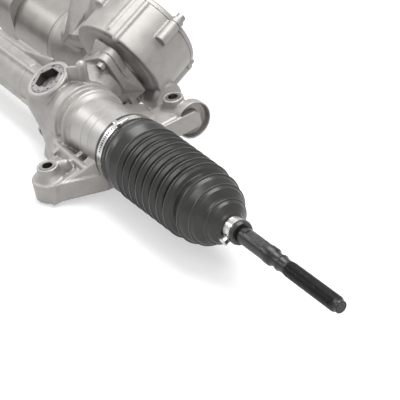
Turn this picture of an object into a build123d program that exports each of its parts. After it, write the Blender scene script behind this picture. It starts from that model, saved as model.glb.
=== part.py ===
from build123d import *
from math import acos, cos, pi, radians, sin, tan
import os

# Directions: X along the rack, Z along the mounting bolts, Y towards the drum and motor.
# The rack axis is Y = 0, Z = 0, and X = 0 lies at the front mounting bolt.
# At the end every piece is turned by restTilt and moved so that the front lug's seat is the origin.

# Placing and resting
restTilt = 10.5            # the rack lies tipped by this about X
lugSeatZ = -3.2            # top face of the lugs, from the rack axis
lugHeight = 33.0
frontLugY = -70.0
rearLugX = -15.0
rearLugY = 88.0
farLugX = -560.0
lugBossRadius = 11.0
lugFootRadius = 19.0
lugFootHeight = 20.0
lugPlaces = ((0, frontLugY), (farLugX, frontLugY), (rearLugX, rearLugY))
sleeveBore = 5.3
sleeveWall = 2.7
fitGap = 0.02              # pressed or seated pieces of one body
runGap = 0.05              # running fits
airGap = 0.3               # moving pieces that don't touch

# Rack and travel
middleX = -288.0           # half way between the two inner balls
ballSpan = 350.0           # ball centre from the middle
rackRadius = 13.0
rackTravel = 75.0
socketBack = 24.0          # ball centre to the socket's seat on the rack's end
socketFront = 10.0
socketRadius = 19.0
stopGap = 2.5              # socket to the end stop at full travel
studRadius = 8.0
studLength = 16.0

# Inner ball joint and tie rod, lengths from the ball's centre
ballRadius = 12.5
seatWall = 1.7
mouthRadius = 11.2
neckRodRadius = 6.5
shankRadius = 7.75
flatStart = 178.0
flatEnd = 203.0
flatWidth = 13.0
shankEnd = 215.0
grooveRadius = 6.4
threadStart = 230.0
threadEnd = 300.0
threadRadius = 7.0
pointLength = 3.0
pointRadius = 5.0

# Housing casting
tubeRadius = 24.0
tubeBore = 16.0
neckLength = 98.0          # from the stop face's root to the spigot's end
neckRadius = 32.0
neckBore = 21.5
neckMouth = 26.5           # flared so that the tie rod swings clear at full travel
neckFlare = 22.0
spigotLength = 18.0
spigotRadius = 32.5
shoulderRadius = 38.0
shoulderWidth = 14.0
bushLength = 15.0

# Pinion stations
driveX = -88.0
driveTilt = 20.5
driveLean = 10.0
inputX = -488.0
inputTilt = 90.0
inputLean = 12.0
toothModule = 2.0
pinionTeeth = 8
profileShift = 0.5
pressureAngle = 20.0
toothPlay = 0.16
rackTipDepth = 10.5        # rack centre to the tips of its teeth
rackToothDepth = 4.5
toothHalfWidth = 16.0

# Yoke
yokeFace = 38.8
yokeBossRadius = 25.0
yokeRadius = 18.8
plugRadius = 19.5
plugThickness = 8.0
plugHex = 17.0
plugHexDepth = 5.5
yokeTop = 28.0
padWall = 1.2

# Bearings of the pinions, places along the pinion axis
towerRadius = 25.0
lowerBearing = (-30.0, -20.0, 7.0, 13.0)     # start, end, bore radius, outer radius
upperBearing = (24.0, 36.0, 10.0, 21.0)
nutEnd = 41.0
capLength = 5.0
capRadius = 16.0
towerTop = 60.0

# Worm gear
wormModule = 1.75
wheelTeeth = 40
wormStarts = 2
wheelPlace = 87.0          # middle of the wheel along the pinion axis
wheelWidth = 12.0
wormLength = 36.0
wormPlay = 0.16
wormShaftRadius = 6.0
wormBearingRadius = 13.0
wormBearingWidth = 9.0
wormBearingSpan = 34.0

# Gearbox
drumRadius = 57.0
drumWall = 4.5
drumStart = 74.0
drumEnd = 130.0
boxNeckRadius = 31.0
endBearing = (112.0, 122.0, 8.0, 17.0)
coverThickness = 6.0
coverAngles = (20.0, 110.0, 200.0, 290.0)
coverBossRadius = 7.0
flangeStart = 51.0
flangeBoltCircle = 37.0
flangeEarRadius = 9.0
flangeAngles = (55.0, 175.0, 295.0)
boltRadius = 3.0
boltHeadRadius = 5.2
boltHeadHeight = 6.0
tunnelRadius = 19.0

# Motor, places along X
motorRadius = 43.7
motorWall = 3.0
motorStart = -256.0
motorEnd = -345.0
flangeThickness = 10.0
flareStart = -196.0
statorLength = 56.0
statorInner = 26.0
rotorRadius = 25.0
ecuLength = 52.0
ecuCoverThickness = 3.0
ecuCircles = ((0, 0, motorRadius), (24, 26, 20), (-24, 26, 20))     # Y, Z and radius of its rounded corners

# Boot, lengths from the ball's centre towards the tie rod
bootWall = 2.2
bootCuffRadius = 36.0
bootCrests = 8
firstCrest = 21.6
lastCrest = 101.6
crestRadius = 38.4
valleyRadius = 31.5
bootEnd = 173.0
smallBand = 160.0
bandWidth = 8.0
smallBandSeat = 9.6

# Input side
sensorBase = 60.0
sensorTop = 96.0
sensorRadius = 27.0
inputTop = 128.0
inputRadius = 9.0
splineRadius = 8.7
torsionRadius = 2.6
inputShaftBearing = (sensorTop - 15, sensorTop - 6, inputRadius, 17.0)


def vectorSum(*terms):
    total = Vector(0, 0, 0)
    for scale, direction in terms:
        total = total + direction * scale
    return total


alongX = Vector(1, 0, 0)
rackAxis = Plane(origin=(0, 0, 0), x_dir=(0, 1, 0), z_dir=(1, 0, 0))


class Station:
    """One pinion with its yoke across the rack."""

    def __init__(self, x, tilt, lean):
        self.x = x
        self.lean = radians(lean)
        self.outward = Vector(0, -sin(radians(tilt)), cos(radians(tilt)))
        self.across = Vector(0, cos(radians(tilt)), sin(radians(tilt)))
        self.spin = vectorSum((cos(self.lean), self.across), (-sin(self.lean), alongX))
        self.roll = vectorSum((cos(self.lean), alongX), (sin(self.lean), self.across))
        self.centre = Vector(x, 0, 0)
        self.yoke = Plane(origin=self.centre, x_dir=(1, 0, 0), z_dir=self.outward)
        self.rack = Plane(origin=self.centre, x_dir=self.roll, z_dir=self.spin)
        offset = self.centre - self.outward * pinionOffset
        self.pinion = Plane(origin=offset, x_dir=self.roll, z_dir=self.spin)

    def point(self, along):
        return self.pinion.origin + self.spin * along


rollRadius = toothModule * pinionTeeth / 2
rackTipGap = toothModule * (1 - profileShift)
pinionOffset = rackTipDepth - rackTipGap + rollRadius
drive = Station(driveX, driveTilt, driveLean)
steer = Station(inputX, inputTilt, inputLean)
wheelRadius = wormModule * wheelTeeth / 2
wormRadius = wormStarts * wormModule / (2 * sin(radians(driveLean)))
wormOffset = wheelRadius + wormRadius
wheelCentre = drive.point(wheelPlace)
wormCentre = wheelCentre - drive.outward * wormOffset
wormAxis = Plane(origin=(0, wormCentre.Y, wormCentre.Z), x_dir=(0, 1, 0), z_dir=(1, 0, 0))
rightBall = middleX + ballSpan
rackEnd = rightBall - socketBack
stopX = rackEnd - rackTravel - stopGap
spigotEnd = stopX + neckLength
bushEnd = stopX - bushLength


def cylinder(frame, radius, start, end):
    low, high = min(start, end), max(start, end)
    return frame.location * Pos(0, 0, low) * Solid.make_cylinder(radius, high - low)


def ring(frame, outer, inner, start, end):
    return cylinder(frame, outer, start, end) - cylinder(frame, inner, start, end)


def turned(frame, outline):
    points = [(radius, 0, along) for radius, along in outline]
    face = make_face(Polyline(*points, close=True))
    return frame.location * revolve(face, axis=Axis.Z)


def prism(frame, points, start, end):
    face = make_face(Polyline(*points, close=True))
    return frame.location * Pos(0, 0, start) * extrude(face, amount=end - start)


def polar(radius, angle):
    return (radius * cos(radians(angle)), radius * sin(radians(angle)))


def hullPlate(frame, circles, start, end):
    edges = [Pos(x, y) * Edge.make_circle(radius) for x, y, radius in circles]
    return frame.location * Pos(0, 0, start) * extrude(make_hull(edges), amount=end - start)


def otherEnd(piece):
    return mirror(piece, about=Plane(origin=(middleX, 0, 0), z_dir=(1, 0, 0)))


def involute(angle):
    return tan(angle) - angle


def gearOutline(teeth, roll, thickness, tip, root, firstAngle, steps):
    base = roll * cos(radians(pressureAngle))
    halfAtBase = thickness / (2 * roll) + involute(radians(pressureAngle))
    low = max(base, root)
    flank = [low + (tip - low) * i / (steps - 1) for i in range(steps)]
    points = []
    for tooth in range(teeth):
        middle = radians(firstAngle) + 2 * pi * tooth / teeth
        side = [(root, halfAtBase)] if root < base else []
        side += [(r, halfAtBase - involute(acos(base / r))) for r in flank]
        for r, half in side:
            points.append((r * cos(middle - half), r * sin(middle - half)))
        for r, half in reversed(side):
            points.append((r * cos(middle + half), r * sin(middle + half)))
    return points


pinionThickness = pi * toothModule / 2 + 2 * profileShift * toothModule * tan(radians(pressureAngle))
pinionTip = rollRadius + toothModule * (1 + profileShift) - 0.4
pinionRoot = rollRadius - toothModule * (1.25 - profileShift)


def pinionTeethSolid(station, width):
    outline = gearOutline(pinionTeeth, rollRadius, pinionThickness, pinionTip, pinionRoot, -90, 5)
    return prism(station.pinion, outline, -width, width)


def rackTeethCut(station):
    pitch = pi * toothModule
    reach = rackTravel + toothHalfWidth
    gaps = int(reach / pitch)
    line = rackTipDepth - rackTipGap
    slope = tan(radians(pressureAngle))
    half = (pinionThickness + toothPlay) / 2
    tip = half + (rackTipDepth - line) * slope
    root = half - (line - rackTipDepth + rackToothDepth) * slope
    outside = rackRadius + 2
    points = [(-reach, outside), (-reach, rackTipDepth)]
    for gap in range(-gaps, gaps + 1):
        middle = gap * pitch
        points.append((middle - tip, rackTipDepth))
        points.append((middle - root, rackTipDepth - rackToothDepth))
        points.append((middle + root, rackTipDepth - rackToothDepth))
        points.append((middle + tip, rackTipDepth))
    points += [(reach, rackTipDepth), (reach, outside)]
    flipped = [(x, -y) for x, y in points]
    facing = points if (station.rack.y_dir.dot(station.outward) < 0) else flipped
    half = rackRadius * 1.2 + reach * tan(station.lean)
    return prism(station.rack, facing, -half, half)


# Rack

def rackBar():
    left = 2 * middleX - rackEnd
    bar = cylinder(rackAxis, rackRadius, left, rackEnd)
    bar -= cylinder(rackAxis, studRadius + fitGap, rackEnd - studLength - 1, rackEnd)
    bar -= cylinder(rackAxis, studRadius + fitGap, left, left + studLength + 1)
    bar -= rackTeethCut(drive)
    bar -= rackTeethCut(steer)
    return bar


def ballFrame():
    return Plane(origin=(rightBall, 0, 0), x_dir=(0, 1, 0), z_dir=(1, 0, 0))


def ballSocket():
    cavity = ballRadius + runGap * 2 + seatWall + runGap
    body = turned(ballFrame(), [(0, -socketBack), (socketRadius - 1, -socketBack),
                                (socketRadius, -socketBack + 1), (socketRadius, 2),
                                (socketRadius - 4, socketFront), (0, socketFront)])
    flatCut = Pos(rightBall - socketBack + 5, 0, socketRadius + 3) * Box(10, 60, 10)
    body -= flatCut
    body -= mirror(flatCut, about=Plane.XY)
    body += cylinder(ballFrame(), studRadius, -socketBack - studLength, -socketBack)
    body -= Pos(rightBall, 0, 0) * Sphere(cavity)
    body -= cylinder(ballFrame(), mouthRadius, 0, socketFront + 1)
    return body


def ballSeat():
    inner = ballRadius + runGap * 2
    shell = Pos(rightBall, 0, 0) * (Sphere(inner + seatWall) - Sphere(inner))
    front = Pos(rightBall + 30, 0, 0) * Box(60, 60, 60)
    return shell - front


def tieRod():
    frame = ballFrame()
    rod = turned(frame, [(0, 6), (neckRodRadius, 6), (neckRodRadius, 22), (shankRadius, 30),
                         (shankRadius, shankEnd), (grooveRadius, shankEnd + 1.5),
                         (grooveRadius, threadStart - 1.5), (threadRadius, threadStart),
                         (threadRadius, threadEnd - pointLength - 2),
                         (pointRadius, threadEnd - pointLength), (pointRadius, threadEnd),
                         (0, threadEnd)])
    rod += Pos(rightBall, 0, 0) * Sphere(ballRadius)
    for side in (1, -1):
        middle = rightBall + (flatStart + flatEnd) / 2
        rod -= Pos(middle, 0, side * (flatWidth / 2 + 5)) * Box(flatEnd - flatStart, 30, 10)
    return rod


def bootOutline(inset):
    """Outer line for inset 0; the inner line stands one wall inside."""
    pitch = (lastCrest - firstCrest) / (bootCrests - 1)
    cuffStart = spigotEnd - spigotLength - rightBall
    points = [(bootCuffRadius - inset, cuffStart), (bootCuffRadius - inset, spigotEnd - rightBall),
              (bootCuffRadius + 1.5 - inset, spigotEnd - rightBall + 6)]
    points.append((valleyRadius + 1 - inset, firstCrest - pitch / 2))
    for crest in range(bootCrests):
        place = firstCrest + crest * pitch
        drop = 1.4 * crest / (bootCrests - 1)
        points.append((crestRadius - drop - inset, place))
        points.append((valleyRadius - drop - inset, place + pitch / 2))
    for radius, valley, place in ((34.3, 26.5, 119.3), (30.2, 20.5, 132.0), (22.3, 13.0, 145.0)):
        points.append((radius - inset, place))
        points.append((valley - inset, place + 6.5))
    return points


def boot():
    outer = bootOutline(0)
    inner = bootOutline(bootWall)
    cuffBore = shankRadius + runGap
    lip = 11.0
    outer += [(smallBandSeat, smallBand - bandWidth / 2 - 0.6), (smallBandSeat, smallBand + bandWidth / 2 + 0.6),
              (lip, smallBand + bandWidth / 2 + 1.2), (lip, bootEnd), (cuffBore, bootEnd)]
    inner[0] = (spigotRadius + fitGap, inner[0][1])
    inner[1] = (spigotRadius + fitGap, inner[1][1])
    inner.append((cuffBore, smallBand - bandWidth / 2 - 1))
    return turned(ballFrame(), outer + list(reversed(inner)))


def largeBand():
    start = spigotEnd - spigotLength + 3.5
    band = ring(rackAxis, bootCuffRadius + 1.0, bootCuffRadius + fitGap, start, start + bandWidth)
    ear = Pos(start + bandWidth / 2, 0, bootCuffRadius + 2.5) * Box(bandWidth, 7, 4)
    ear -= cylinder(rackAxis, bootCuffRadius + fitGap, start - 1, start + bandWidth + 1)
    return band + Rot(42, 0, 0) * ear


def smallClamp():
    frame = ballFrame()
    start = smallBand - bandWidth / 2
    band = ring(frame, smallBandSeat + 1.0, smallBandSeat + fitGap, start, start + bandWidth)
    ear = Pos(rightBall + smallBand, 0, -smallBandSeat - 3) * Box(bandWidth, 4, 6)
    ear -= cylinder(frame, smallBandSeat + fitGap, start - 1, start + bandWidth + 1)
    return band + Rot(20, 0, 0) * ear


# Housing casting

def lugFrame(x, y):
    return Plane(origin=(x, y, lugSeatZ), x_dir=(1, 0, 0), z_dir=(0, 0, 1))


def frontLug(x):
    frame = lugFrame(x, frontLugY)
    low = -lugHeight
    foot = hullPlate(frame, [(0, 0, lugFootRadius), (-34, 44, 12), (26, 44, 12)], low, low + lugFootHeight)
    boss = turned(frame, [(0, low), (lugBossRadius + 6, low), (lugBossRadius + 5, low + lugFootHeight),
                          (lugBossRadius + 0.8, low + lugFootHeight + 6), (lugBossRadius, 0), (0, 0)])
    lug = foot + boss
    wallPoints = [(-12, low), (62, low), (62, 12), (48, 2), (20, low + lugFootHeight + 4),
                  (-4, low + lugFootHeight)]
    for place in (14.0, -34.0):
        frameSide = Plane(origin=(x + place, frontLugY, lugSeatZ), x_dir=(0, 1, 0), z_dir=(1, 0, 0))
        lug += prism(frameSide, wallPoints if place > 0 else [(20, low)] + wallPoints[1:5], 0, 6)
    middle = Plane(origin=(x - 3, frontLugY, lugSeatZ), x_dir=(0, 1, 0), z_dir=(1, 0, 0))
    lug += prism(middle, [(8, low + 4), (50, low + 4), (46, -2), (8, low + lugFootHeight + 6)], 0, 6)
    return lug


def rearLug():
    frame = lugFrame(rearLugX, rearLugY)
    low = -lugHeight
    arm = hullPlate(frame, [(0, 0, 16), (8, -60, 14), (-30, -60, 14)], low + 3, -12)
    boss = turned(frame, [(0, low), (15, low), (15, -12), (lugBossRadius + 1, -8), (lugBossRadius, 0), (0, 0)])
    disc = Plane(origin=(rearLugX - 26, rearLugY + 2, lugSeatZ - lugHeight / 2), x_dir=(0, 1, 0), z_dir=(1, 0, 0))
    web = cylinder(disc, 24, 0, 5) + ring(disc, 26, 23, -6, 8)
    return arm + boss + web


def pinionTower(station, top):
    low = lowerBearing[0] - capLength - 3
    return turned(station.pinion, [(0, low), (19, low), (20, lowerBearing[1]), (towerRadius, -8),
                                   (towerRadius, upperBearing[0]), (towerRadius + 2, top), (0, top)])


def yokeTower(station):
    return turned(station.yoke, [(0, 0), (yokeBossRadius + 6, 0), (yokeBossRadius, 14),
                                 (yokeBossRadius, yokeFace - 1.5), (yokeBossRadius - 1.5, yokeFace),
                                 (0, yokeFace)])


def casing():
    neck = stopX - 2
    outline = [(0, middleX), (tubeRadius, middleX), (tubeRadius, neck - 70),
               (shoulderRadius - 2, neck - shoulderWidth), (shoulderRadius, neck - shoulderWidth + 4),
               (shoulderRadius, neck), (neckRadius, neck + 3), (neckRadius, spigotEnd - spigotLength),
               (spigotRadius, spigotEnd - spigotLength), (spigotRadius, spigotEnd - 1),
               (spigotRadius - 1, spigotEnd), (0, spigotEnd)]
    half = turned(rackAxis, outline)
    for groove in (neck + 13, neck + 23):
        half -= ring(rackAxis, neckRadius + 1, neckRadius - 0.8, groove, groove + 1.5)
    return half + otherEnd(half)


def flangePlate():
    circles = [(0, 0, towerRadius + 4)]
    for angle in flangeAngles:
        x, y = polar(flangeBoltCircle, angle)
        circles.append((x, -y, flangeEarRadius))
    return hullPlate(drive.pinion, circles, flangeStart, towerTop)


def tubeRibs():
    rib = Pos(-170, 0, 0) * Box(150, 5, 2 * tubeRadius + 10)
    ribs = rib & cylinder(rackAxis, tubeRadius + 4, -250, -95)
    return Rot(20, 0, 0) * ribs + Rot(-70, 0, 0) * ribs


def rackHousing():
    body = casing() + tubeRibs()
    for station, top in ((drive, towerTop), (steer, sensorBase)):
        body += pinionTower(station, top)
        body += yokeTower(station)
    body += flangePlate()
    body += frontLug(0)
    body += frontLug(farLugX)
    body += rearLug()
    body -= cylinder(rackAxis, tubeBore, 2 * middleX - spigotEnd, spigotEnd)
    neckCut = turned(rackAxis, [(0, stopX), (neckBore, stopX), (neckBore, spigotEnd - neckFlare),
                                (neckMouth, spigotEnd), (neckMouth, spigotEnd + 1), (0, spigotEnd + 1)])
    body -= neckCut
    body -= otherEnd(neckCut)
    for station in (drive, steer):
        body -= cylinder(station.yoke, yokeRadius + airGap, 0, yokeFace + 1)
        body -= cylinder(station.pinion, pinionTip + 1, lowerBearing[0], upperBearing[0])
        body -= cylinder(station.pinion, lowerBearing[3] + fitGap, lowerBearing[0], lowerBearing[1])
        body -= cylinder(station.pinion, capRadius + fitGap, lowerBearing[0] - capLength - 4, lowerBearing[0])
        body -= cylinder(station.pinion, upperBearing[3] + fitGap, upperBearing[0], towerTop + 1)
        body -= cylinder(station.yoke, plugRadius + fitGap, yokeFace - plugThickness, yokeFace + 1)
    for x, y in lugPlaces:
        body -= cylinder(lugFrame(x, y), sleeveBore + sleeveWall + fitGap, -lugHeight - 1, 1)
    for angle in flangeAngles:
        body -= cylinder(boltFrame(angle), boltRadius + 0.4, flangeStart - 1, towerTop + 1)
        body -= cylinder(boltFrame(angle), boltHeadRadius + 1.5, flangeStart - 22, flangeStart)
    return body


def boltFrame(angle):
    x, y = polar(flangeBoltCircle, angle)
    origin = drive.pinion.origin + drive.pinion.x_dir * x - drive.pinion.y_dir * y
    return Plane(origin=origin, x_dir=drive.pinion.x_dir, z_dir=drive.spin)


def lugSleeves():
    sleeves = []
    for x, y in lugPlaces:
        sleeves.append(ring(lugFrame(x, y), sleeveBore + sleeveWall, sleeveBore, -lugHeight, 0))
    return Compound(children=sleeves)


# Yoke pieces

def yokeSlide(station):
    body = cylinder(station.yoke, yokeRadius, 0, yokeTop)
    body -= cylinder(rackAxis, rackRadius + padWall + runGap, station.x - 40, station.x + 40)
    return body - cylinder(station.yoke, 11, yokeTop - 4, yokeTop)


def yokePad(station):
    pad = ring(rackAxis, rackRadius + padWall, rackRadius + runGap, station.x - 12, station.x + 12)
    keep = Location(station.yoke) * Pos(0, 0, 25) * Box(24, 20, 50)
    return pad & keep


def yokeSpring(station):
    low = yokeTop - 4
    high = yokeFace - plugThickness
    middle = (low + high) / 2
    disc = 1.0
    return turned(station.yoke, [(4, low + 1.2), (10.5, low), (10.5, low + disc), (5.6, middle),
                                 (10.5, high - disc), (10.5, high), (4, high - 1.2)])


def yokePlug(station):
    low = yokeFace - plugThickness
    plug = cylinder(station.yoke, plugRadius, low, yokeFace)
    hexagon = station.yoke.location * Pos(0, 0, yokeFace - plugHexDepth) * extrude(
        RegularPolygon(plugHex / 2, 6, major_radius=False), amount=plugHexDepth + 1)
    plug -= hexagon
    plug -= cylinder(station.yoke, 2.0, low, yokeFace)
    return plug


# Pinions and their bearings

def bearing(frame, places):
    start, end, bore, outer = places
    wall = (outer - bore) * 0.28
    body = ring(frame, outer, outer - wall, start, end)
    body += ring(frame, bore + wall, bore + fitGap, start, end)
    inner = ring(frame, outer - wall + 0.5, bore + wall - 0.5, start + 1, end - 1)
    return body + inner


def drivePinion():
    frame = drive.pinion
    shaft = turned(frame, [(0, lowerBearing[0]), (lowerBearing[2], lowerBearing[0]),
                           (lowerBearing[2], lowerBearing[1]), (pinionRoot, lowerBearing[1] + 2),
                           (pinionRoot, toothHalfWidth), (upperBearing[2] + 1.5, upperBearing[0] - 3),
                           (upperBearing[2] + 1.5, upperBearing[0]), (upperBearing[2], upperBearing[0]),
                           (upperBearing[2], wheelPlace + 10), (endBearing[2], wheelPlace + 12),
                           (endBearing[2], endBearing[1]), (0, endBearing[1])])
    return shaft + pinionTeethSolid(drive, toothHalfWidth)


def wormWheel():
    thickness = pi * wormModule / 2 - wormPlay / 2
    outline = gearOutline(wheelTeeth, wheelRadius, thickness, wheelRadius + wormModule,
                          wheelRadius - 1.2 * wormModule, 90, 2)
    low = wheelPlace - wheelWidth / 2
    high = wheelPlace + wheelWidth / 2
    wheel = prism(drive.pinion, outline, low, high)
    for start, end in ((low, low + 3), (high - 3, high)):
        wheel -= ring(drive.pinion, wheelRadius - 7, upperBearing[2] + 7, start, end)
    wheel += cylinder(drive.pinion, upperBearing[2] + 6, low - 3, high + 3)
    return wheel - cylinder(drive.pinion, upperBearing[2] + fitGap, low - 4, high + 4)


def wormShaft():
    x = wormCentre.X
    shaft = cylinder(wormAxis, wormShaftRadius, x - wormBearingSpan - wormBearingWidth - 22,
                     x + wormBearingSpan + wormBearingWidth)
    shaft += cylinder(wormAxis, wormShaftRadius + 2, x - wormBearingSpan + 2, x + wormBearingSpan - 2)
    core = wormRadius - 1.2 * wormModule
    return shaft + cylinder(wormAxis, core, x - wormLength / 2, x + wormLength / 2)


def wormBearings():
    x = wormCentre.X
    for side, name in ((1, "worm_bearing_inner"), (-1, "worm_bearing_outer")):
        near = x + side * wormBearingSpan
        far = near + side * wormBearingWidth
        yield name, bearing(wormAxis, (min(near, far), max(near, far), wormShaftRadius, wormBearingRadius))


couplingStart = wormCentre.X - wormBearingSpan - wormBearingWidth - 12


def coupling():
    return ring(wormAxis, 11, wormShaftRadius + fitGap, couplingStart - 24, couplingStart)


# Gearbox and motor

def gearboxHousing():
    frame = drive.pinion
    x = wormCentre.X
    drum = turned(frame, [(0, towerTop), (boxNeckRadius, towerTop), (boxNeckRadius, drumStart - 3),
                          (drumRadius - 8, drumStart), (drumRadius, drumStart + 8), (drumRadius, drumEnd),
                          (0, drumEnd)])
    circles = [(0, 0, boxNeckRadius - 2)]
    for angle in flangeAngles:
        px, py = polar(flangeBoltCircle, angle)
        circles.append((px, -py, flangeEarRadius))
    drum += hullPlate(frame, circles, towerTop, towerTop + 9)
    tunnelEnd = x + wormBearingSpan + wormBearingWidth + 8
    box = drum + turned(wormAxis, [(0, tunnelEnd), (tunnelRadius - 3, tunnelEnd), (tunnelRadius, tunnelEnd - 4),
                                   (tunnelRadius, flareStart), (motorRadius - 6, motorStart + flangeThickness + 12),
                                   (motorRadius, motorStart + flangeThickness), (motorRadius, motorStart),
                                   (0, motorStart)])
    for angle in coverAngles:
        box += cylinder(coverBoltFrame(angle), coverBossRadius, drumEnd - 26, drumEnd)
    box -= turned(frame, [(0, towerTop - 1), (upperBearing[3] - 2, towerTop - 1), (upperBearing[3] - 2, drumStart + 2),
                          (drumRadius - drumWall - 6, drumStart + 4), (drumRadius - drumWall, drumStart + 12),
                          (drumRadius - drumWall, drumEnd + 1), (0, drumEnd + 1)])
    seat = wormBearingRadius + fitGap
    boreEnd = x + wormBearingSpan + wormBearingWidth
    box -= turned(wormAxis, [(0, motorStart - 1), (motorRadius - 8, motorStart - 1),
                             (motorRadius - 8, motorStart + flangeThickness + 4),
                             (seat, flareStart - 2), (seat, boreEnd), (0, boreEnd)])
    for angle in coverAngles:
        box -= cylinder(coverBoltFrame(angle), boltRadius, drumEnd - 18, drumEnd + 1)
    for angle in flangeAngles:
        box -= cylinder(boltFrame(angle), boltRadius, towerTop - 1, towerTop + 9.5)
    return box


def coverBoltFrame(angle):
    x, y = polar(drumRadius + 2, angle)
    origin = drive.pinion.origin + drive.pinion.x_dir * x - drive.pinion.y_dir * y
    return Plane(origin=origin, x_dir=drive.pinion.x_dir, z_dir=drive.spin)


def gearboxCover():
    frame = drive.pinion
    top = drumEnd + coverThickness
    cover = turned(frame, [(0, drumEnd), (drumRadius, drumEnd), (drumRadius, top - 2), (drumRadius - 2, top),
                           (30, top), (24, top + 4), (0, top + 4)])
    cover += cylinder(frame, endBearing[3] + 4, endBearing[0], drumEnd)
    for angle in coverAngles:
        cover += cylinder(coverBoltFrame(angle), coverBossRadius, drumEnd, top)
    cover -= cylinder(frame, endBearing[3] + fitGap, endBearing[0] - 1, endBearing[1])
    cover -= cylinder(frame, endBearing[2] + 3, endBearing[1], endBearing[1] + 2)
    for angle in coverAngles:
        cover -= cylinder(coverBoltFrame(angle), boltRadius + 0.3, drumEnd - 1, top + 1)
    return cover


def screw(frame, radius, headRadius, headHeight, seat, tip):
    """Head beyond the seat, away from the tip."""
    away = 1 if seat > tip else -1
    body = cylinder(frame, radius, tip, seat)
    head = cylinder(frame, headRadius, seat, seat + away * headHeight)
    socketFrame = frame.location * Pos(0, 0, seat + away * headHeight)
    hexagon = socketFrame * extrude(RegularPolygon(headRadius * 0.5, 6), amount=-away * headHeight * 0.5)
    return body + head - hexagon


def gearboxBolts():
    bolts = []
    for angle in flangeAngles:
        bolts.append(screw(boltFrame(angle), boltRadius - fitGap, boltHeadRadius, boltHeadHeight,
                           flangeStart, towerTop + 8))
    return Compound(children=bolts)


def coverBolts():
    bolts = []
    for angle in coverAngles:
        bolts.append(screw(coverBoltFrame(angle), boltRadius - fitGap, boltHeadRadius, boltHeadHeight,
                           drumEnd + coverThickness, drumEnd - 16))
    return Compound(children=bolts)


def motorHousing():
    body = cylinder(wormAxis, motorRadius, motorEnd, motorStart)
    body -= cylinder(wormAxis, motorRadius - motorWall, motorEnd - 1, motorStart - 6)
    return body - cylinder(wormAxis, wormShaftRadius + 5, motorStart - 7, motorStart + 1)


def motorStator():
    middle = (motorStart - 6 + motorEnd) / 2
    return ring(wormAxis, motorRadius - motorWall - fitGap, statorInner, middle - statorLength / 2,
                middle + statorLength / 2)


def motorRotor():
    middle = (motorStart - 6 + motorEnd) / 2
    rotor = cylinder(wormAxis, rotorRadius, middle - statorLength / 2, middle + statorLength / 2)
    return rotor + cylinder(wormAxis, wormShaftRadius, motorEnd + 6, couplingStart - 11)


def ecuHousing():
    body = hullPlate(wormAxis, ecuCircles, motorEnd - ecuLength, motorEnd)
    body -= cylinder(wormAxis, motorRadius - 6, motorEnd - ecuLength - 1, motorEnd - 8)
    return body - cylinder(wormAxis, 8, motorEnd - 9, motorEnd + 1)


def ecuCover():
    end = motorEnd - ecuLength
    return hullPlate(wormAxis, ecuCircles, end - ecuCoverThickness, end)


# Input side

def inputPinion():
    frame = steer.pinion
    shaft = turned(frame, [(0, lowerBearing[0]), (lowerBearing[2], lowerBearing[0]),
                           (lowerBearing[2], lowerBearing[1]), (pinionRoot, lowerBearing[1] + 2),
                           (pinionRoot, toothHalfWidth), (upperBearing[2] + 1.5, upperBearing[0] - 3),
                           (upperBearing[2] + 1.5, upperBearing[0]), (upperBearing[2], upperBearing[0]),
                           (upperBearing[2], sensorBase), (0, sensorBase)])
    shaft += pinionTeethSolid(steer, toothHalfWidth)
    shaft -= cylinder(frame, 6.0, sensorBase - 14, sensorBase + 1)
    return shaft - cylinder(frame, torsionRadius + fitGap, sensorBase - 40, sensorBase)


def torsionBar():
    return cylinder(steer.pinion, torsionRadius, sensorBase - 38, inputTop - 20)


def inputShaft():
    frame = steer.pinion
    shaft = turned(frame, [(0, sensorBase - 12), (5.9, sensorBase - 12), (5.9, sensorBase + airGap),
                           (inputRadius + 2, sensorBase + airGap), (inputRadius + 2, sensorBase + 20),
                           (inputRadius, sensorBase + 20), (inputRadius, sensorTop + 3),
                           (splineRadius, sensorTop + 3), (splineRadius, inputTop - 1),
                           (splineRadius - 1, inputTop), (0, inputTop)])
    return shaft - cylinder(frame, torsionRadius + airGap, sensorBase - 13, inputTop - 18)


def sensorHousing():
    frame = steer.pinion
    body = turned(frame, [(0, sensorBase), (sensorRadius, sensorBase), (sensorRadius, sensorTop - 14),
                          (sensorRadius - 7, sensorTop - 6), (sensorRadius - 7, sensorTop), (0, sensorTop)])
    body -= cylinder(frame, sensorRadius - 4, sensorBase - 1, sensorTop - 16)
    body -= cylinder(frame, 17 + fitGap, sensorTop - 18, sensorTop - 6)
    return body - cylinder(frame, 15 + fitGap, sensorTop - 6, sensorTop + 1)


def inputSeal():
    return turned(steer.pinion, [(inputRadius + 0.1, sensorTop - 5), (15, sensorTop - 5), (15, sensorTop),
                                 (inputRadius + 2, sensorTop + 2), (inputRadius + 0.1, sensorTop + 2)])


def bearingNut(station):
    frame = station.pinion
    return ring(frame, upperBearing[3], upperBearing[2] + 4, upperBearing[1], nutEnd)


def endCap(station):
    frame = station.pinion
    low = lowerBearing[0] - capLength
    cap = cylinder(frame, capRadius, low, lowerBearing[0] - airGap)
    return cap - cylinder(frame, 6, low - 1, low + 2.5)


def place(piece):
    seat = Vector(0, frontLugY, lugSeatZ)
    return Rot(restTilt, 0, 0) * Pos(-seat.X, -seat.Y, -seat.Z) * piece


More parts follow.
